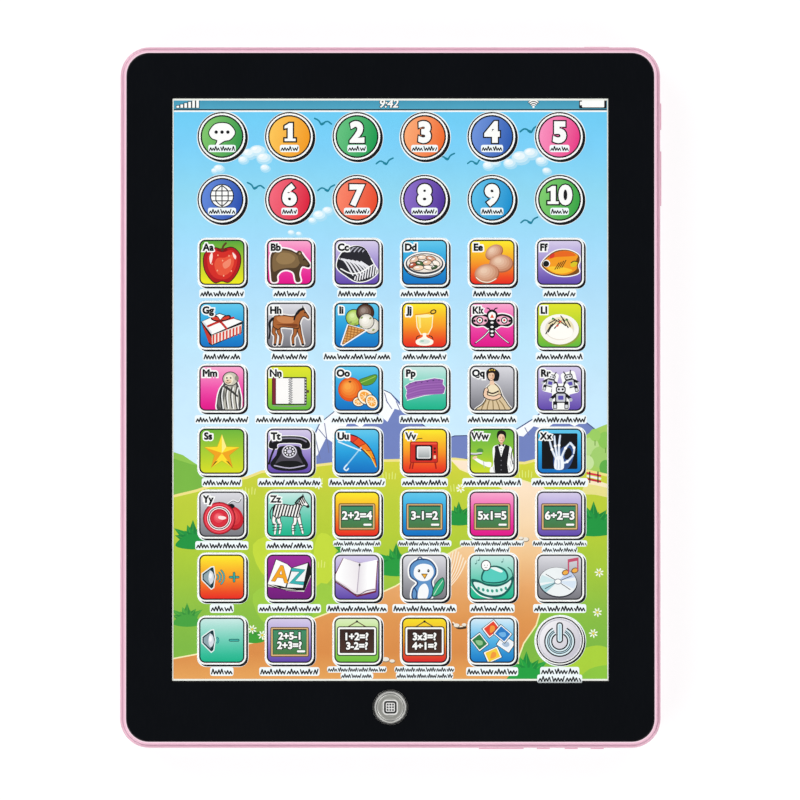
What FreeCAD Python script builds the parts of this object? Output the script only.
import FreeCAD, Part
import math
import os
import re
import Sketcher

# Kids' learning tablet: a flat battery toy with a printed membrane keypad behind a
# black panel, in a pink two-piece case.  Millimetres.  The tablet lies on its back:
# X across the screen, Y up the screen, Z out of the screen, and the origin is under
# the middle of the case on the plane that its back rests on.

SIZES = {
    # case
    "case_width": 185.0,
    "case_length": 240.0,
    "case_height": 22.0,
    "corner_radius": 10.0,
    "case_wall": 2.4,
    "floor_top": 2.0,
    "back_edge_radius": 3.5,
    "shoulder_height": 18.5,
    "shoulder_radius": 1.0,
    "seam_gap": 0.1,
    # pink rim that stands inside the shoulder
    "rim_inset": 1.1,
    "rim_lip": 1.1,
    "rim_edge_radius": 0.4,
    "flange_top": 19.75,
    "flange_opening_x": 166.0,
    "flange_opening_y": 229.0,
    # black front panel
    "panel_gap": 0.1,
    "panel_bottom": 19.8,
    "panel_top": 21.6,
    "window_width": 150.0,
    "window_length": 200.6,
    "window_shift": 2.6,
    "pocket_width": 159.0,
    "pocket_length": 206.5,
    "pocket_ceiling": 20.8,
    # film stack under the window
    "film_width": 158.2,
    "film_length": 205.8,
    "film_shift": 3.7,
    "lower_film_z": 19.62,
    "spacer_film_z": 19.84,
    "upper_film_z": 20.16,
    "overlay_z": 20.38,
    "circuit_film": 0.2,
    "spacer_film": 0.3,
    "overlay_film": 0.35,
    "spacer_hole_radius": 6.0,
    # keypad
    "key_pitch_x": 23.3,
    "key_pitch_y": 21.56,
    "key_size": 16.8,
    "key_corner": 2.7,
    "round_key_radius": 8.5,
    "key_relief": 0.25,
    "top_row_y": 89.3,
    "column_count": 6.0,
    "row_count": 9.0,
    # backing plate
    "plate_width": 160.0,
    "plate_length": 225.0,
    "plate_bottom": 18.0,
    "plate_top": 19.6,
    # home button
    "home_y": -106.0,
    "home_radius": 6.0,
    "home_gap": 0.15,
    "home_top": 21.9,
    "home_flange_radius": 6.7,
    "home_flange_top": 19.7,
    "home_flange_bottom": 18.9,
    "home_board_top": 17.8,
    "home_board_bottom": 16.6,
    # screws that hold the case, panel, boards and speaker
    "case_screw_x": 86.6,
    "case_screw_y": 105.0,
    "case_post_radius": 3.0,
    "case_post_split": 10.5,
    "case_seat": 6.0,
    "panel_screw_x": 62.0,
    "panel_screw_y": 108.5,
    "panel_screw_shift": 1.5,
    # main circuit board
    "board_x": 44.0,
    "board_y": 52.0,
    "board_width": 60.0,
    "board_length": 44.0,
    "board_bottom": 14.8,
    "board_top": 16.4,
    "board_screw_x": 26.0,
    "board_screw_y": 18.0,
    "tail_width": 22.0,
    "tail_y": 24.0,
    # battery bay and its door
    "bay_half_width": 28.5,
    "bay_top_y": -16.4,
    "bay_bottom_y": -62.4,
    "bay_wall": 1.4,
    "bay_ceiling": 16.8,
    "cell_radius": 7.1,
    "cell_length": 50.5,
    "cell_z": 9.5,
    "cell_pitch": 15.0,
    "cell_top_y": -24.3,
    "contact_thickness": 0.5,
    "door_half_width": 31.0,
    "door_top_y": -16.4,
    "door_nose_radius": 0.25,
    "door_bottom_y": -74.0,
    "door_gap": 0.2,
    "door_bottom": 0.3,
    "door_top": 1.9,
    "ledge_z": 2.1,
    "frame_top": 3.7,
    "door_screw_y": -69.5,
    "tab_x": 16.0,
    "spring_base_radius": 4.4,
    "spring_tip_radius": 2.7,
    "spring_wire_radius": 0.4,
    "tab_width": 6.0,
    # loudspeaker
    "speaker_x": -48.0,
    "speaker_y": 52.0,
    "speaker_radius": 20.0,
    # dummy controls moulded on the case edge
    "bump_height": 0.6,
    "bump_z": 9.5,
    # insulated wire
    "wire_radius": 0.6,
}

doc = FreeCAD.newDocument("kids_tablet")
sheet = doc.addObject("Spreadsheet::Sheet", "sizes")
for row, (alias, number) in enumerate(SIZES.items(), start=1):
    sheet.set("A%d" % row, alias)
    sheet.set("B%d" % row, str(number))
    sheet.setAlias("B%d" % row, alias)
doc.recompute()

nodes = []


# ---------------------------------------------------------------- helpers
def with_sheet(expression):
    """The expression with every sheet alias given its sheet's name."""
    return re.sub(r"[A-Za-z_]\w*", lambda word: "sizes." + word[0] if word[0] in SIZES else word[0],
                  str(expression))


def bind(thing, path, expression):
    thing.setExpression(path, with_sheet(expression))


def bind_base(thing, prefix, place):
    for axis, expression in zip("xyz", place):
        bind(thing, prefix + ".Base." + axis, expression)


def node(thing, name):
    """Marks an object as the sub-part that is written to parts/NAME.step."""
    thing.Label = name
    nodes.append(thing)
    return thing


def box(name, x, y, z):
    """Part::Box between pairs of limits along x, y and z."""
    solid = doc.addObject("Part::Box", name)
    for size, (low, high) in zip(("Length", "Width", "Height"), (x, y, z)):
        bind(solid, size, "(%s) - (%s)" % (high, low))
    bind_base(solid, "Placement", (x[0], y[0], z[0]))
    return solid


def cylinder(name, radius, x, y, z):
    solid = doc.addObject("Part::Cylinder", name)
    bind(solid, "Radius", radius)
    bind(solid, "Height", "(%s) - (%s)" % (z[1], z[0]))
    bind_base(solid, "Placement", (x, y, z[0]))
    return solid


def bar(name, radius, x, y, z):
    """Part::Cylinder that lies along x between two limits."""
    solid = doc.addObject("Part::Cylinder", name)
    bind(solid, "Radius", radius)
    bind(solid, "Height", "(%s) - (%s)" % (x[1], x[0]))
    solid.Placement.Rotation = FreeCAD.Rotation(FreeCAD.Vector(0, 1, 0), 90)
    bind_base(solid, "Placement", (x[0], y, z))
    return solid


def join(name, solids):
    fused = doc.addObject("Part::MultiFuse", name)
    fused.Shapes = solids
    return fused


def carve(name, base, tools):
    """The base with every tool cut away."""
    cut = doc.addObject("Part::Cut", name)
    cut.Base = base
    cut.Tool = tools[0] if len(tools) == 1 else join(name + "_cutters", tools)
    return cut


def new_body(name, place=("0", "0", "0")):
    body = doc.addObject("PartDesign::Body", name)
    body.AllowCompound = True
    bind_base(body, "Placement", place)
    return body


def origin_plane(body, role):
    return [feature for feature in body.Origin.OriginFeatures if feature.Role == role][0]


def new_sketch(body, name, plane="XY_Plane", place=("0", "0", "0")):
    sketch = body.newObject("Sketcher::SketchObject", name)
    sketch.AttachmentSupport = (origin_plane(body, plane), [""])
    sketch.MapMode = "FlatFace"
    bind_base(sketch, "AttachmentOffset", place)
    return sketch


def dimension(sketch, name, expression, *reference):
    """Adds a named driving dimension and binds it."""
    index = sketch.addConstraint(Sketcher.Constraint(*reference))
    sketch.renameConstraint(index, name)
    bind(sketch, "Constraints." + name, expression)


def rounded_rectangle(sketch, width, length, radius):
    """A rectangle with round corners, centred on the sketch's origin."""
    half, bend = 10.0, 2.0
    flat = half - bend
    sides = (((-flat, -half), (flat, -half)), ((half, -flat), (half, flat)),
             ((flat, half), (-flat, half)), ((-half, flat), (-half, -flat)))
    for start, end in sides:
        sketch.addGeometry(Part.LineSegment(FreeCAD.Vector(*start, 0), FreeCAD.Vector(*end, 0)))
    for corner, centre in enumerate(((flat, -flat), (flat, flat), (-flat, flat), (-flat, -flat))):
        circle = Part.Circle(FreeCAD.Vector(*centre, 0), FreeCAD.Vector(0, 0, 1), bend)
        first = (corner - 1) * math.pi / 2
        sketch.addGeometry(Part.ArcOfCircle(circle, first, first + math.pi / 2))
    for side in range(4):
        following = (side + 1) % 4
        square_on_end = ("Vertical", "Horizontal")[side % 2]
        for constraint in (("Coincident", side, 2, side + 4, 1),
                           ("Coincident", side + 4, 2, following, 1),
                           (square_on_end, side + 4, 3, side, 2),
                           ("Symmetric", side, 1, side, 2, (-2, -1)[side % 2])):
            sketch.addConstraint(Sketcher.Constraint(*constraint))
    flat_width = "%s - 2 * (%s)" % (width, radius)
    flat_length = "%s - 2 * (%s)" % (length, radius)
    dimension(sketch, "bottom", flat_width, "DistanceX", 0, 1, 0, 2, 2 * flat)
    dimension(sketch, "top", flat_width, "DistanceX", 2, 2, 2, 1, 2 * flat)
    dimension(sketch, "right", flat_length, "DistanceY", 1, 1, 1, 2, 2 * flat)
    dimension(sketch, "left", flat_length, "DistanceY", 3, 2, 3, 1, 2 * flat)
    dimension(sketch, "down", "(%s) / 2" % length, "DistanceY", 0, 1, -1, 1, half)
    dimension(sketch, "up", "(%s) / 2" % length, "DistanceY", -1, 1, 2, 1, half)
    dimension(sketch, "east", "(%s) / 2" % width, "DistanceX", -1, 1, 1, 1, half)
    dimension(sketch, "west", "(%s) / 2" % width, "DistanceX", 3, 1, -1, 1, half)


def circle_profile(sketch, radius):
    sketch.addGeometry(Part.Circle(FreeCAD.Vector(0, 0, 0), FreeCAD.Vector(0, 0, 1), 5.0))
    sketch.addConstraint(Sketcher.Constraint("Coincident", 0, 3, -1, 1))
    dimension(sketch, "radius", radius, "Radius", 0, 5.0)


def pad(body, sketch, height):
    feature = body.newObject("PartDesign::Pad", sketch.Name + "_pad")
    feature.Profile = sketch
    bind(feature, "Length", height)
    return feature


def pocket(body, sketch, depth):
    """Cuts upwards, towards +Z, from the sketch."""
    feature = body.newObject("PartDesign::Pocket", sketch.Name + "_pocket")
    feature.Profile = sketch
    feature.Reversed = True
    bind(feature, "Length", depth)
    return feature


def round_edges(body, radius, chosen):
    """Fillets the edges of the body's tip that the test picks."""
    doc.recompute()
    base = body.Tip
    names = ["Edge%d" % (i + 1) for i, edge in enumerate(base.Shape.Edges) if chosen(edge)]
    feature = body.newObject("PartDesign::Fillet", body.Name + "_rounding_%d" % len(body.Group))
    feature.Base = (base, names)
    bind(feature, "Radius", radius)
    return feature


def slab(name, width, length, radius, z, x="0", y="0"):
    """A PartDesign body: one rounded rectangle between two heights."""
    body = new_body(name)
    sketch = new_sketch(body, name + "_outline", place=(x, y, z[0]))
    rounded_rectangle(sketch, width, length, radius)
    pad(body, sketch, "(%s) - (%s)" % (z[1], z[0]))
    return body


def revolved(body, name, profile, place):
    """Turns a closed profile of (radius, height) points about a vertical axis."""
    x, y = place
    sketch = new_sketch(body, name, "XZ_Plane", (x, "0", "-(%s)" % y))
    count = len(profile)
    guess = [FreeCAD.Vector(1.0 + corner % 3, 1.0 + corner, 0) for corner in range(count)]
    for corner in range(count):
        sketch.addGeometry(Part.LineSegment(guess[corner], guess[(corner + 1) % count]))
    for corner, (radius, height) in enumerate(profile):
        sketch.addConstraint(Sketcher.Constraint("Coincident", corner, 2, (corner + 1) % count, 1))
        if str(radius) == "0":
            sketch.addConstraint(Sketcher.Constraint("PointOnObject", corner, 1, -2))
        else:
            dimension(sketch, "r%d_" % corner, radius, "DistanceX", -1, 1, corner, 1, guess[corner].x)
        dimension(sketch, "z%d_" % corner, height, "DistanceY", -1, 1, corner, 1, guess[corner].y)
    feature = body.newObject("PartDesign::Revolution", name + "_turn")
    feature.Profile = sketch
    feature.ReferenceAxis = (sketch, ["V_Axis"])
    feature.Angle = 360
    return feature


def turned(name, profile, place=("0", "0")):
    """A one-feature body turned on a vertical axis at the place."""
    body = new_body(name)
    revolved(body, name + "_profile", profile, place)
    return body


def pattern(body, originals, rows=(), mirrors=()):
    """Repeats features along X or Y, given as (axis, total length, count), and in mirror planes."""
    doc.recompute()
    multi = body.newObject("PartDesign::MultiTransform", "%s_pattern_%d" % (body.Name, len(body.Group)))
    steps = []
    for axis, length, count in rows:
        step = body.newObject("PartDesign::LinearPattern", "%s_row_%d" % (body.Name, len(body.Group)))
        step.Direction = (origin_plane(body, axis + "_Axis"), [""])
        bind(step, "Length", length)
        step.Occurrences = count
        steps.append(step)
    for plane in mirrors:
        step = body.newObject("PartDesign::Mirrored", "%s_mirror_%d" % (body.Name, len(body.Group)))
        step.MirrorPlane = (origin_plane(body, plane), [""])
        steps.append(step)
    multi.Originals = originals
    multi.Transformations = steps
    body.Tip = multi
    return multi


def both_sides(inner, outer):
    """The x limits of a feature on the right side and of its mirror image on the left."""
    return (("right", (inner, outer)), ("left", ("-(%s)" % outer, "-(%s)" % inner)))


def key_y(row):
    """Height of a keypad row, counted from 0 at the top."""
    return "top_row_y - %d * key_pitch_y" % row


# ---------------------------------------------------------------- case
def screw_posts(name, radius, z):
    """Columns on the six case-screw places."""
    body = new_body(name)
    sketch = new_sketch(body, name + "_circle", place=("-case_screw_x", "-case_screw_y", z[0]))
    circle_profile(sketch, radius)
    column = pad(body, sketch, "(%s) - (%s)" % (z[1], z[0]))
    pattern(body, [column], [("Y", "2 * case_screw_y", 3), ("X", "2 * case_screw_x", 2)])
    return body


def edge_mouldings():
    """Dummy volume, lock and socket details moulded on the case's edges."""
    reach = "case_width / 2 - 1"
    proud = "case_width / 2 + bump_height"
    tall = ("bump_z - 1.6", "bump_z + 1.6")
    solids = [box("lock_bump", (reach, proud), ("92.2", "101.1"), tall),
              box("volume_bump", (reach, proud), ("66.0", "84.6"), tall)]
    far, near = "case_length / 2 + bump_height", "case_length / 2 - 1"
    solids.append(box("power_bump", ("66.7", "75.2"), (near, far), tall))
    solids.append(box("socket_bump", ("30.4", "45.7"), ("-(%s)" % far, "-(%s)" % near), tall))
    for count, x in enumerate((52.5, 62.1, 71.0)):
        place = ("%g - 2.2" % x, "%g + 2.2" % x)
        solids.append(box("stud_bump_%d" % count, place, ("-(%s)" % far, "-(%s)" % near), tall))
    return solids


def rear_cover():
    """Pink tub with screw posts, speaker grille, battery bay and dummy edge controls."""
    shell = slab("cover_shell", "case_width", "case_length", "corner_radius", ("0", "shoulder_height"))
    doc.recompute()
    round_edges(shell, "back_edge_radius", lambda edge: edge.BoundBox.ZMax < 0.01)
    round_edges(shell, "shoulder_radius",
                lambda edge: edge.BoundBox.ZMin > sheet.shoulder_height - 0.01)
    hollow = new_sketch(shell, "cover_hollow", place=("0", "0", "floor_top"))
    rounded_rectangle(hollow, "case_width - 2 * case_wall", "case_length - 2 * case_wall",
                      "corner_radius - case_wall")
    pocket(shell, hollow, "case_height")

    bay_wall_x = "bay_half_width + bay_wall"
    added = [shell, screw_posts("cover_posts", "case_post_radius + 0.5", ("1", "case_post_split"))]
    added += edge_mouldings()
    added.append(box("bay_block", ("-(%s)" % bay_wall_x, bay_wall_x),
                     ("bay_bottom_y - bay_wall", "bay_top_y + bay_wall"), ("1", "bay_ceiling + 1")))
    frame_x = "door_half_width + 1.8"
    added.append(box("door_frame", ("-(%s)" % frame_x, frame_x),
                     ("door_bottom_y - 1.8", "door_top_y + 1.8"), ("1", "frame_top")))
    added.append(cylinder("insert_post", "4.4", "0", "door_screw_y", ("frame_top - 0.5", "6.2")))
    added.append(carve("speaker_ring",
                       cylinder("speaker_wall", "speaker_radius + 1.8", "speaker_x", "speaker_y",
                                ("1", "3.7")),
                       [cylinder("speaker_seat", "speaker_radius + 0.4", "speaker_x", "speaker_y",
                                 ("0.5", "6"))]))
    for count in range(3):
        added.append(cylinder("speaker_post_%d" % count, "2.2", speaker_screw_x(count),
                              speaker_screw_y(count), ("1", "3.8")))

    door_x = "door_half_width + door_gap"
    removed = [
        box("bay_space", ("-bay_half_width", "bay_half_width"), ("bay_bottom_y", "bay_top_y"),
            ("ledge_z - 1", "bay_ceiling")),
        box("door_space", ("-(%s)" % door_x, door_x),
            ("door_bottom_y - door_gap", "door_top_y + door_gap"), ("-1", "ledge_z")),
        cylinder("door_boss_space", "4.4", "0", "door_screw_y", ("1", "3.1")),
        cylinder("door_screw_space", "1.75", "0", "door_screw_y", ("2", "4")),
        cylinder("insert_space", "2.75", "0", "door_screw_y", ("3.9", "7")),
        screw_posts("screw_heads", "2.6", ("-1", "case_seat")),
        screw_posts("screw_shanks", "1.4", ("case_seat - 1", "case_post_split + 1")),
    ]
    for side, limits in both_sides("tab_x - tab_width / 2 - 0.4", "tab_x + tab_width / 2 + 0.4"):
        removed.append(box("tab_slot_" + side, limits, ("door_top_y - 0.2", "door_top_y + 4"),
                           ("ledge_z", "4.9")))
    for count in range(7):
        y = "speaker_y + %d" % (5 * (count - 3))
        half = (14.0, 11.5, 8.0)[abs(count - 3) - 1] if count != 3 else 15.0
        removed.append(box("grille_slot_%d" % count,
                           ("speaker_x - %g" % half, "speaker_x + %g" % half),
                           ("%s - 1" % y, "%s + 1" % y), ("-1", "2.5")))
    for count in range(3):
        removed.append(cylinder("speaker_pilot_%d" % count, "0.95", speaker_screw_x(count),
                                speaker_screw_y(count), ("1.2", "4.5")))
    # passages for the battery leads in the bay's end walls
    for side, limits in both_sides("bay_half_width - 0.5", "bay_half_width + bay_wall + 0.5"):
        y = "cell_top_y - 2 * cell_pitch + 3" if side == "left" else "cell_top_y + 4.9"
        removed.append(box("lead_slot_" + side, limits, (y + " - 1.5", y + " + 1.5"),
                           ("13.0", "16.0")))
    node(carve("rear_cover", join("cover_solid", added), removed), "rear_cover")


def front_rim():
    """Pink lip around the panel, with the flange that carries it and the screw bosses."""
    rim = slab("rim_ring", "case_width - 2 * rim_inset", "case_length - 2 * rim_inset",
               "corner_radius - rim_inset", ("shoulder_height + seam_gap", "case_height"))
    round_edges(rim, "rim_edge_radius",
                lambda edge: edge.BoundBox.ZMin > sheet.case_height - 0.01)
    well = new_sketch(rim, "rim_well", place=("0", "0", "flange_top"))
    inset = "2 * (rim_inset + rim_lip)"
    rounded_rectangle(well, "case_width - " + inset, "case_length - " + inset,
                      "corner_radius - rim_inset - rim_lip")
    pocket(rim, well, "case_height")
    opening = new_sketch(rim, "flange_opening", place=("0", "0", "shoulder_height - 1"))
    rounded_rectangle(opening, "flange_opening_x", "flange_opening_y", "4")
    pocket(rim, opening, "5")
    bosses = screw_posts("rim_bosses", "case_post_radius",
                         ("case_post_split + seam_gap", "shoulder_height + seam_gap + 0.5"))
    pilots = screw_posts("rim_pilots", "1.2", ("case_post_split - 1", "17"))
    node(carve("front_rim", join("rim_solid", [rim, bosses]), [pilots]), "front_rim")


def snap_hook(name, x, y, along):
    """A hook that reaches down past the flange's edge and catches under it."""
    arm_low, barb_low = "17.4", "17.4"
    barb_high = "shoulder_height - 0.1"
    sign = 1 if float((x if along == "Y" else y)) > 0 else -1
    inner, outer, tip = (81.4, 82.4, 84.0) if along == "Y" else (113.1, 114.1, 115.6)
    reach = sorted((sign * inner, sign * outer))
    barb = sorted((sign * inner, sign * tip))
    spread = (y - 3, y + 3) if along == "Y" else (x - 3, x + 3)
    texts = [tuple("%g" % number for number in pair) for pair in (reach, barb, spread)]
    if along == "Y":
        return [box(name + "_arm", texts[0], texts[2], (arm_low, "panel_bottom + 0.2")),
                box(name + "_barb", texts[1], texts[2], (barb_low, barb_high))]
    return [box(name + "_arm", texts[2], texts[0], (arm_low, "panel_bottom + 0.2")),
            box(name + "_barb", texts[2], texts[1], (barb_low, barb_high))]


def front_panel():
    """Gloss black panel with the screen window, the button hole and snap hooks."""
    inset = "2 * (rim_inset + rim_lip + panel_gap)"
    panel = slab("panel_plate", "case_width - " + inset, "case_length - " + inset,
                 "corner_radius - rim_inset - rim_lip - panel_gap", ("panel_bottom", "panel_top"))
    round_edges(panel, "0.3", lambda edge: edge.BoundBox.ZMin > sheet.panel_top - 0.01)
    window = new_sketch(panel, "panel_window", place=("0", "window_shift", "panel_bottom - 1"))
    rounded_rectangle(window, "window_width", "window_length", "0.6")
    pocket(panel, window, "5")
    recess = new_sketch(panel, "film_pocket", place=("0", "film_shift", "panel_bottom - 1"))
    rounded_rectangle(recess, "pocket_width", "pocket_length", "1")
    pocket(panel, recess, "pocket_ceiling - panel_bottom + 1")
    hole = new_sketch(panel, "home_hole", place=("0", "home_y", "panel_bottom - 1"))
    circle_profile(hole, "home_radius + home_gap")
    pocket(panel, hole, "5")
    parts = [panel, panel_posts("panel_bosses", "2.6", ("plate_bottom - 0.1", "panel_bottom + 0.2"))]
    for count, y in enumerate((-82.0, -46.0, 46.0, 82.0)):
        parts += snap_hook("hook_left_%d" % count, -82.0, y, "Y")
        parts += snap_hook("hook_right_%d" % count, 82.0, y, "Y")
    for count, x in enumerate((-36.0, 36.0)):
        parts += snap_hook("hook_bottom_%d" % count, x, -114.0, "X")
        parts += snap_hook("hook_top_%d" % count, x, 114.0, "X")
    pilots = panel_posts("panel_pilots", "1.1", ("plate_bottom - 1", "21"))
    node(carve("front_panel", join("panel_solid", parts), [pilots]), "front_panel")


def panel_posts(name, radius, z):
    """Columns on the four panel-screw places."""
    body = new_body(name)
    sketch = new_sketch(body, name + "_circle",
                        place=("-panel_screw_x", "-panel_screw_y + panel_screw_shift", z[0]))
    circle_profile(sketch, radius)
    column = pad(body, sketch, "(%s) - (%s)" % (z[1], z[0]))
    pattern(body, [column], [("X", "2 * panel_screw_x", 2), ("Y", "2 * panel_screw_y", 2)])
    return body


# ---------------------------------------------------------------- membrane keypad
def film(name, z, thickness):
    return slab(name, "film_width", "film_length", "0.6", (z, "%s + %s" % (z, thickness)),
                "0", "film_shift")


def key_features(body, name, radius_or_size, column, row, z, height, round_key):
    place = ("(%g) * key_pitch_x" % (column - 2.5), key_y(row), z)
    sketch = new_sketch(body, name, place=place)
    if round_key:
        circle_profile(sketch, radius_or_size)
    else:
        rounded_rectangle(sketch, radius_or_size, radius_or_size, "key_corner")
    return pad(body, sketch, height)


def printed_overlay():
    """Printed film whose keys are embossed a little proud of it."""
    body = film("printed_overlay", "overlay_z", "overlay_film")
    z, height = "overlay_z + overlay_film - 0.05", "key_relief + 0.05"
    pictures = key_features(body, "picture_keys", "key_size", 0, 7, z, height, False)
    pattern(body, [pictures], [("X", "5 * key_pitch_x", 6), ("Y", "5 * key_pitch_y", 6)])
    lower = key_features(body, "lower_keys", "key_size", 0, 8, z, height, False)
    pattern(body, [lower], [("X", "4 * key_pitch_x", 5)])
    numbers = key_features(body, "number_keys", "round_key_radius", 0, 1, z, height, True)
    pattern(body, [numbers], [("X", "5 * key_pitch_x", 6), ("Y", "key_pitch_y", 2)])
    power = key_features(body, "power_key", "round_key_radius", 5, 8, z, height, True)
    body.Tip = power
    node(body, "printed_overlay")


def upper_circuit_film():
    node(film("upper_circuit_film", "upper_film_z", "circuit_film"), "upper_circuit_film")


def spacer_film():
    """Spacer with one hole per key, through which the two circuits meet."""
    body = film("spacer_film", "spacer_film_z", "spacer_film")
    sketch = new_sketch(body, "contact_hole",
                        place=("-2.5 * key_pitch_x", key_y(8), "spacer_film_z - 1"))
    circle_profile(sketch, "spacer_hole_radius")
    hole = pocket(body, sketch, "3")
    pattern(body, [hole], [("X", "5 * key_pitch_x", 6), ("Y", "8 * key_pitch_y", 9)])
    node(body, "spacer_film")


def lower_circuit_film():
    """Circuit film with the tail that drops through the plate onto the main board."""
    sheet_body = film("circuit_sheet", "lower_film_z", "circuit_film")
    tail_x = ("board_x - tail_width / 2", "board_x + tail_width / 2")
    drop = box("tail_drop", tail_x, ("tail_y", "tail_y + circuit_film"),
               ("board_top + 0.03", "lower_film_z + circuit_film"))
    lead = box("tail_lead", tail_x, ("tail_y", "tail_y + 18"),
               ("board_top + 0.03", "board_top + 0.03 + circuit_film"))
    node(join("lower_circuit_film", [sheet_body, drop, lead]), "lower_circuit_film")


def tail_pad():
    """Rubber strip that presses the tail onto the board's pads."""
    node(box("tail_pad", ("board_x - tail_width / 2 - 1", "board_x + tail_width / 2 + 1"),
             ("tail_y + 12", "tail_y + 17"),
             ("board_top + 0.06 + circuit_film", "plate_bottom - 0.02")), "tail_pad")


def backing_plate():
    """Stiff white plate behind the films, with standoffs for the main board."""
    plate = slab("plate_sheet", "plate_width", "plate_length", "3", ("plate_bottom", "plate_top"))
    standoffs = board_posts("plate_standoffs", "2.4", ("board_top + 0.02", "plate_bottom + 0.5"))
    removed = [
        panel_posts("plate_holes", "2.9", ("plate_bottom - 1", "plate_top + 1")),
        cylinder("plate_button_hole", "home_flange_radius + 0.5", "0", "home_y",
                 ("plate_bottom - 1", "plate_top + 1")),
        box("tail_slot", ("board_x - tail_width / 2 - 1", "board_x + tail_width / 2 + 1"),
            ("tail_y - 1", "tail_y + 1.2"), ("plate_bottom - 1", "plate_top + 1")),
        board_posts("plate_pilots", "0.95", ("board_top - 1", "plate_top - 0.2")),
        home_screw_holes("plate_home_pilots", "0.85", ("plate_bottom - 1", "plate_top - 0.2")),
    ]
    node(carve("backing_plate", join("plate_solid", [plate, standoffs]), removed), "backing_plate")


# ---------------------------------------------------------------- electronics
def board_posts(name, radius, z):
    """Columns on the four main-board screw places."""
    body = new_body(name)
    sketch = new_sketch(body, name + "_circle",
                        place=("board_x - board_screw_x", "board_y - board_screw_y", z[0]))
    circle_profile(sketch, radius)
    column = pad(body, sketch, "(%s) - (%s)" % (z[1], z[0]))
    pattern(body, [column], [("X", "2 * board_screw_x", 2), ("Y", "2 * board_screw_y", 2)])
    return body


def main_board():
    body = slab("board_sheet", "board_width", "board_length", "1.5", ("board_bottom", "board_top"),
                "board_x", "board_y")
    node(carve("main_board", body, [board_posts("board_holes", "1.3",
                                                ("board_bottom - 1", "board_top + 1"))]), "main_board")


def chip_blob():
    """Black resin dome over the bonded sound chip, on the board's underside."""
    body = turned("chip_blob", [("0", "board_bottom - 0.02"), ("6.5", "board_bottom - 0.02"),
                                ("6.2", "board_bottom - 0.7"), ("5.0", "board_bottom - 1.4"),
                                ("3.0", "board_bottom - 1.9"), ("0", "board_bottom - 2.1")],
                  ("board_x + 6", "board_y - 2"))
    node(body, "chip_blob")


def board_capacitors():
    """Two can capacitors standing on the board's underside."""
    cans = [cylinder("capacitor_%d" % count, "2.5", "board_x + %g" % x, "board_y + %g" % y,
                     ("board_bottom - 7.02", "board_bottom - 0.02"))
            for count, (x, y) in enumerate(((-17, 12), (-10, 12)))]
    group("board_capacitors", cans)


def board_resistors():
    chips = [box("resistor_%d" % count, ("board_x + %g" % x, "board_x + %g + 1.25" % x),
                 ("board_y + 9", "board_y + 11"), ("board_bottom - 0.62", "board_bottom - 0.02"))
             for count, x in enumerate((4, 8, 12, 16, 20))]
    group("board_resistors", chips)


def board_crystal():
    can = slab("board_crystal", "10", "4", "1.9", ("board_bottom - 3.52", "board_bottom - 0.02"),
               "board_x - 14", "board_y - 12")
    node(can, "board_crystal")


def group(name, solids):
    """Identical pieces that share one node."""
    compound = doc.addObject("Part::Compound", name)
    compound.Links = solids
    node(compound, name)


def screw_profile(head_radius, head, shank_radius, tip, seat):
    """Pan head below its seat, shank above it, driven upwards."""
    return [("0", "%s - %s" % (seat, head)), ("%s - 0.3" % head_radius, "%s - %s" % (seat, head)),
            (head_radius, "%s - %s + 0.4" % (seat, head)), (head_radius, seat),
            (shank_radius, seat), (shank_radius, "%s - 0.8" % tip), ("0.3", tip), ("0", tip)]


def screws(name, profile, first, rows):
    body = turned(name, profile, first)
    pattern(body, [body.Tip], rows)
    node(body, name)


def board_screws():
    profile = screw_profile("2.0", "1.3", "0.85", "plate_top - 0.4", "board_bottom - 0.02")
    screws("board_screws", profile, ("board_x - board_screw_x", "board_y - board_screw_y"),
           [("X", "2 * board_screw_x", 2), ("Y", "2 * board_screw_y", 2)])


def panel_screws():
    profile = screw_profile("3.8", "1.0", "1.0", "20.7", "plate_bottom - 0.12")
    screws("panel_screws", profile, ("-panel_screw_x", "-panel_screw_y + panel_screw_shift"),
           [("X", "2 * panel_screw_x", 2), ("Y", "2 * panel_screw_y", 2)])


def case_screws():
    profile = screw_profile("2.4", "1.8", "1.1", "16.6", "case_seat - 0.02")
    screws("case_screws", profile, ("-case_screw_x", "-case_screw_y"),
           [("Y", "2 * case_screw_y", 3), ("X", "2 * case_screw_x", 2)])


# ---------------------------------------------------------------- home button
def home_button():
    """Round cap with a flange that keeps it under the panel."""
    body = turned("home_button", [
        ("0", "home_flange_bottom"), ("home_flange_radius", "home_flange_bottom"),
        ("home_flange_radius", "home_flange_top"), ("home_radius", "home_flange_top"),
        ("home_radius", "home_top - 0.3"), ("home_radius - 0.3", "home_top"),
        ("home_radius - 0.9", "home_top"), ("home_radius - 1.1", "home_top - 0.15"),
        ("3.0", "home_top - 0.22"), ("0", "home_top - 0.25")], ("0", "home_y"))
    node(body, "home_button")


def home_dome():
    """Silicone dome that pushes the button back and carries the contact pill."""
    foot, ceiling = "home_board_top + 0.01", "home_flange_bottom - 0.01"
    body = turned("home_dome", [
        ("1.6", "%s - 0.45" % ceiling), ("2.6", "%s - 0.45" % ceiling), ("5.2", "%s + 0.001" % foot),
        ("6.8", "%s + 0.001" % foot), ("6.8", "%s + 0.3" % foot), ("5.6", "%s + 0.3" % foot),
        ("3.2", ceiling), ("0", ceiling), ("0", "%s - 0.45" % ceiling)], ("0", "home_y"))
    node(body, "home_dome")


def home_screw_holes(name, radius, z):
    body = new_body(name)
    sketch = new_sketch(body, name + "_circle", place=("-11", "home_y", z[0]))
    circle_profile(sketch, radius)
    column = pad(body, sketch, "(%s) - (%s)" % (z[1], z[0]))
    pattern(body, [column], [("X", "22", 2)])
    return body


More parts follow.
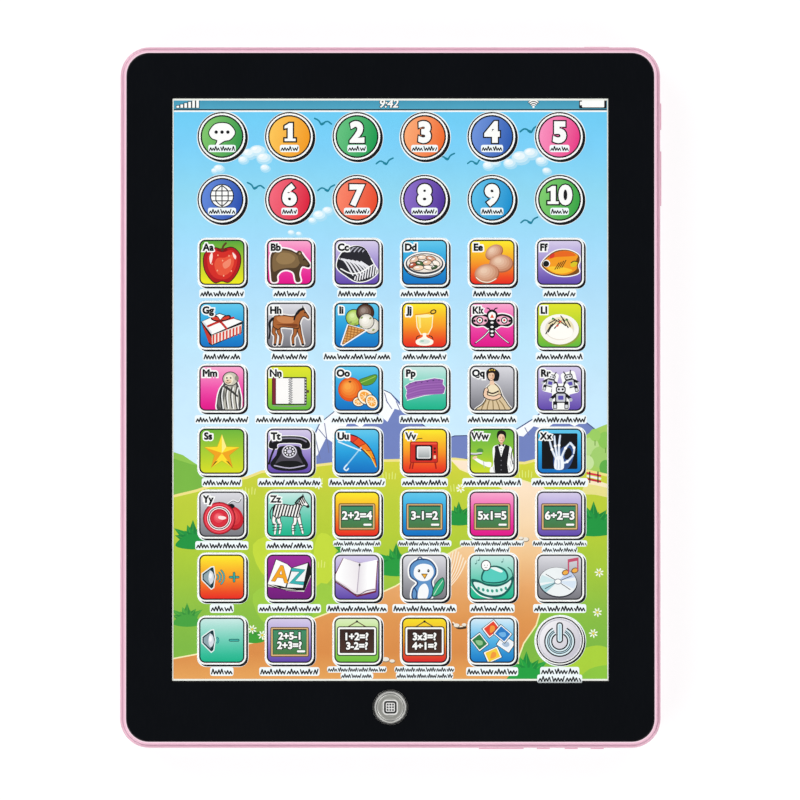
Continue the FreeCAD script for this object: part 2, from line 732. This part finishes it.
def home_contact_board():
    body = slab("home_board_sheet", "28", "13", "1.5", ("home_board_bottom", "home_board_top"),
                "0", "home_y")
    node(carve("home_contact_board", body,
               [home_screw_holes("home_board_holes", "1.1",
                                 ("home_board_bottom - 1", "home_board_top + 1"))]),
         "home_contact_board")


def home_board_screws():
    profile = screw_profile("1.8", "1.1", "0.75", "plate_top - 0.4", "home_board_bottom - 0.02")
    screws("home_board_screws", profile, ("-11", "home_y"), [("X", "22", 2)])


# ---------------------------------------------------------------- loudspeaker
SPEAKER_SCREW_ANGLES = (90, 210, 330)
SPEAKER_SCREW_CIRCLE = 23.0


def speaker_screw_x(count):
    return "speaker_x + %g * cos(%g)" % (SPEAKER_SCREW_CIRCLE, SPEAKER_SCREW_ANGLES[count])


def speaker_screw_y(count):
    return "speaker_y + %g * sin(%g)" % (SPEAKER_SCREW_CIRCLE, SPEAKER_SCREW_ANGLES[count])


def loudspeaker():
    place = ("speaker_x", "speaker_y")
    ring = [("16.5", "2.02"), ("speaker_radius", "2.02"), ("speaker_radius", "2.8"), ("16.5", "2.8")]
    node(turned("speaker_gasket", ring, place), "speaker_gasket")
    node(turned("speaker_frame", [
        ("17.4", "2.84"), ("speaker_radius", "2.84"), ("speaker_radius", "3.6"), ("18.4", "3.6"),
        ("12.6", "8.6"), ("6.4", "8.6"), ("6.4", "7.9"), ("12.2", "7.9"), ("17.4", "3.5")],
        place), "speaker_frame")
    node(turned("speaker_surround", [
        ("15.2", "3.9"), ("16.2", "3.3"), ("17.36", "2.9"), ("17.36", "3.2"), ("16.4", "3.6"),
        ("15.5", "4.2")], place), "speaker_surround")
    node(turned("speaker_cone", [
        ("0", "4.4"), ("3.0", "4.8"), ("4.6", "6.0"), ("15.15", "3.95"), ("15.3", "4.3"),
        ("5.0", "6.6"), ("5.0", "9.4"), ("4.6", "9.4"), ("4.6", "6.5"), ("2.8", "5.2"),
        ("0", "4.8")], place), "speaker_cone")
    node(turned("speaker_magnet", [
        ("0", "8.65"), ("4.2", "8.65"), ("4.2", "11.0"), ("5.4", "11.0"), ("5.4", "8.65"),
        ("10.0", "8.65"), ("10.0", "13.0"), ("0", "13.0")], place), "speaker_magnet")


def speaker_clamps():
    """Three washer-head screws whose rims hold the speaker's flange down."""
    solids = []
    for count in range(3):
        x, y = speaker_screw_x(count), speaker_screw_y(count)
        head = cylinder("speaker_screw_head_%d" % count, "4.2", x, y, ("3.84", "4.9"))
        shank = cylinder("speaker_screw_shank_%d" % count, "0.85", x, y, ("1.5", "4"))
        solids.append(join("speaker_screw_%d" % count, [head, shank]))
    group("speaker_screws", solids)


# ---------------------------------------------------------------- power
def cell(name, index, facing):
    """A round cell lying along X; facing is 1 when its raised end points to +X."""
    tip = "bay_half_width - contact_thickness - 0.15"
    y = "cell_top_y - %d * cell_pitch" % index
    profile = (("0", "0"), ("cell_radius - 0.6", "0"), ("cell_radius", "0.6"),
               ("cell_radius", "cell_length - 2.1"), ("cell_radius - 0.6", "cell_length - 1.5"),
               ("2.75", "cell_length - 1.5"), ("2.75", "cell_length"), ("0", "cell_length"))
    body = new_body(name)
    revolved(body, name + "_profile", profile, ("0", "0"))
    tilt = FreeCAD.Rotation(FreeCAD.Vector(0, 1, 0), 90 * facing)
    body.Placement.Rotation = tilt
    start = "(%s) - cell_length" % tip
    bind_base(body, "Placement", (start if facing > 0 else "-(%s)" % start, y, "cell_z"))
    node(body, name)


def batteries():
    for index in range(3):
        cell("battery_%d" % (index + 1), index, 1 if index % 2 == 0 else -1)


def contact_plate(name, side, first, last):
    """Nickelled plate standing at one end of the bay, across one or two cells."""
    outer = "bay_half_width - 0.05"
    inner = "bay_half_width - 0.05 - contact_thickness"
    x = (inner, outer) if side > 0 else ("-(%s)" % outer, "-(%s)" % inner)
    y = ("cell_top_y - %d * cell_pitch - 5.5" % last, "cell_top_y - %d * cell_pitch + 5.5" % first)
    node(box(name, x, y, ("cell_z - 5", "cell_z + 5")), name)


def battery_contacts():
    contact_plate("contact_positive", 1, 0, 0)
    contact_plate("contact_bridge_left", -1, 0, 1)
    contact_plate("contact_bridge_right", 1, 1, 2)
    contact_plate("contact_negative", -1, 2, 2)


def pipe(name, route, radius):
    """A round bar along straight runs joined by tangent arcs as large as the runs allow."""
    points = [FreeCAD.Vector(*point) for point in route]
    edges, start = [], points[0]
    for before, corner, after in zip(points, points[1:], points[2:]):
        to_before, to_after = before - corner, after - corner
        reach = 0.45 * min(to_before.Length, to_after.Length)
        half_angle = to_before.getAngle(to_after) / 2
        to_before.normalize()
        to_after.normalize()
        bisector = (to_before + to_after).normalize()
        middle = corner + bisector * (reach / math.cos(half_angle) - reach * math.tan(half_angle))
        first, last = corner + to_before * reach, corner + to_after * reach
        edges.append(Part.LineSegment(start, first).toShape())
        edges.append(Part.Arc(first, middle, last).toShape())
        start = last
    edges.append(Part.LineSegment(start, points[-1]).toShape())
    path = Part.Wire(edges)
    section = Part.Wire([Part.Circle(points[0], points[1] - points[0], radius).toShape()])
    feature = doc.addObject("Part::Feature", name)
    feature.Shape = path.makePipeShell([section], True, True)
    expected = math.pi * radius ** 2 * path.Length
    print("%s: length %.1f mm, volume %.2f of %.2f mm3" % (name, path.Length, feature.Shape.Volume,
                                                        expected))
    return feature


def contact_springs():
    """Tapered coil springs that push on the flat end of each cell."""
    steps, turns = 10, 3
    plate = sheet.bay_half_width - sheet.contact_thickness - 0.07
    solids = []
    for index, side in enumerate((-1, 1, -1)):
        route = []
        for step in range(steps * turns + 1):
            share = step / (steps * turns)
            angle = 2 * math.pi * step / steps
            reach = sheet.spring_base_radius + share * (sheet.spring_tip_radius - sheet.spring_base_radius)
            route.append((side * (plate - 0.45 - 4.2 * share),
                          sheet.cell_top_y - index * sheet.cell_pitch + reach * math.cos(angle),
                          sheet.cell_z + reach * math.sin(angle)))
        solids.append(pipe("contact_spring_%d" % index, route, sheet.spring_wire_radius))
    group("contact_springs", solids)


def battery_door():
    """Screwed door with two tabs that hook over the edge of its opening, and a round nose it turns on."""
    pivot_y = "door_top_y - door_nose_radius"
    parts = [box("door_plate", ("-door_half_width", "door_half_width"),
                 ("door_bottom_y", pivot_y), ("door_bottom", "door_top")),
             bar("door_nose", "door_nose_radius", ("-door_half_width", "door_half_width"),
                 pivot_y, "door_bottom + door_nose_radius"),
             cylinder("door_boss", "4.0", "0", "door_screw_y", ("door_top - 0.5", "2.9"))]
    for side, limits in both_sides("tab_x - tab_width / 2", "tab_x + tab_width / 2"):
        name = "door_tab_" + side
        parts.append(box(name + "_arm", limits, ("door_top_y - 1.9", "door_top_y - 0.5"),
                         ("door_top - 0.5", "3.2")))
        parts.append(box(name + "_hook", limits, ("door_top_y - 1.9", "door_top_y + 2.4"),
                         ("ledge_z + 0.25", "3.2")))
    removed = [cylinder("door_head_space", "2.9", "0", "door_screw_y", ("-1", "1.6")),
               cylinder("door_shank_space", "1.6", "0", "door_screw_y", ("0", "4"))]
    node(carve("battery_door", join("door_solid", parts), removed), "battery_door")


def door_fastening():
    place = ("0", "door_screw_y")
    node(turned("door_screw_washer", [("1.35", "1.28"), ("2.6", "1.28"), ("2.6", "1.57"),
                                      ("1.35", "1.57")], place), "door_screw_washer")
    screw = turned("door_screw_blank", screw_profile("2.5", "0.9", "1.3", "5.7", "1.25"), place)
    slots = [box("cross_slot_a", ("-1.6", "1.6"), ("door_screw_y - 0.3", "door_screw_y + 0.3"),
                 ("0", "0.9")),
             box("cross_slot_b", ("-0.3", "0.3"), ("door_screw_y - 1.6", "door_screw_y + 1.6"),
                 ("0", "0.9"))]
    node(carve("door_screw", screw, slots), "door_screw")
    node(turned("screw_insert", [("1.55", "3.92"), ("2.7", "3.92"), ("2.7", "5.9"),
                                 ("1.55", "5.9")], place), "screw_insert")


# ---------------------------------------------------------------- wiring
def wire(name, route):
    """An insulated lead."""
    node(pipe(name, route, sheet.wire_radius), name)


def wiring():
    pads = sheet.board_bottom - 0.04
    end = sheet.bay_half_width - 0.03
    lower_edge = sheet.board_y - sheet.board_length / 2 + 4
    speaker_terminal = sheet.speaker_x + 11.4
    wire("battery_wire_red", [
        (end, -19.4, 14.0), (34, -19.4, 14.0), (35, -4, 12), (36, lower_edge, 11),
        (36, lower_edge, pads)])
    wire("battery_wire_black", [
        (-end, -51.3, 14.0), (-34, -51.3, 14.0), (-36, -10, 12), (12, 20, 11),
        (24, lower_edge, 11), (24, lower_edge, pads)])
    for name, side in (("speaker_wire_red", 2.5), ("speaker_wire_black", -2.5)):
        y = sheet.speaker_y + side
        wire(name, [(speaker_terminal, y, 8.64), (speaker_terminal, y, 12.5),
                    (-10, y + 2 * side, 11.5), (18, y, 11), (18, y, pads)])
    for name, side in (("button_wire_white", 0.0), ("button_wire_grey", 2.6)):
        wire(name, [(6 + side, -101.5, sheet.home_board_bottom - 0.02),
                    (6 + side, -101.5, 12.5), (42 + side, -80, 11.5), (48 + side, -20, 11),
                    (50 + side, lower_edge, 10.5), (50 + side, lower_edge, pads)])


# ---------------------------------------------------------------- assembly
rear_cover()
front_rim()
front_panel()
printed_overlay()
upper_circuit_film()
spacer_film()
lower_circuit_film()
tail_pad()
backing_plate()
main_board()
chip_blob()
board_capacitors()
board_resistors()
board_crystal()
board_screws()
panel_screws()
case_screws()
home_button()
home_dome()
home_contact_board()
home_board_screws()
loudspeaker()
speaker_clamps()
batteries()
battery_contacts()
contact_springs()
battery_door()
door_fastening()
wiring()

doc.recompute()
for item in doc.Objects:
    if "Invalid" in item.State or "Error" in item.State:
        raise RuntimeError("%s failed: %s" % (item.Label, item.State))
for item in nodes:
    if item.Shape.isNull() or not item.Shape.isValid() or not item.Shape.Solids:
        raise RuntimeError("%s has no valid solid" % item.Label)

os.makedirs("parts", exist_ok=True)
for item in nodes:
    item.Shape.exportStep("parts/%s.step" % item.Label)
print("%d nodes written" % len(nodes))
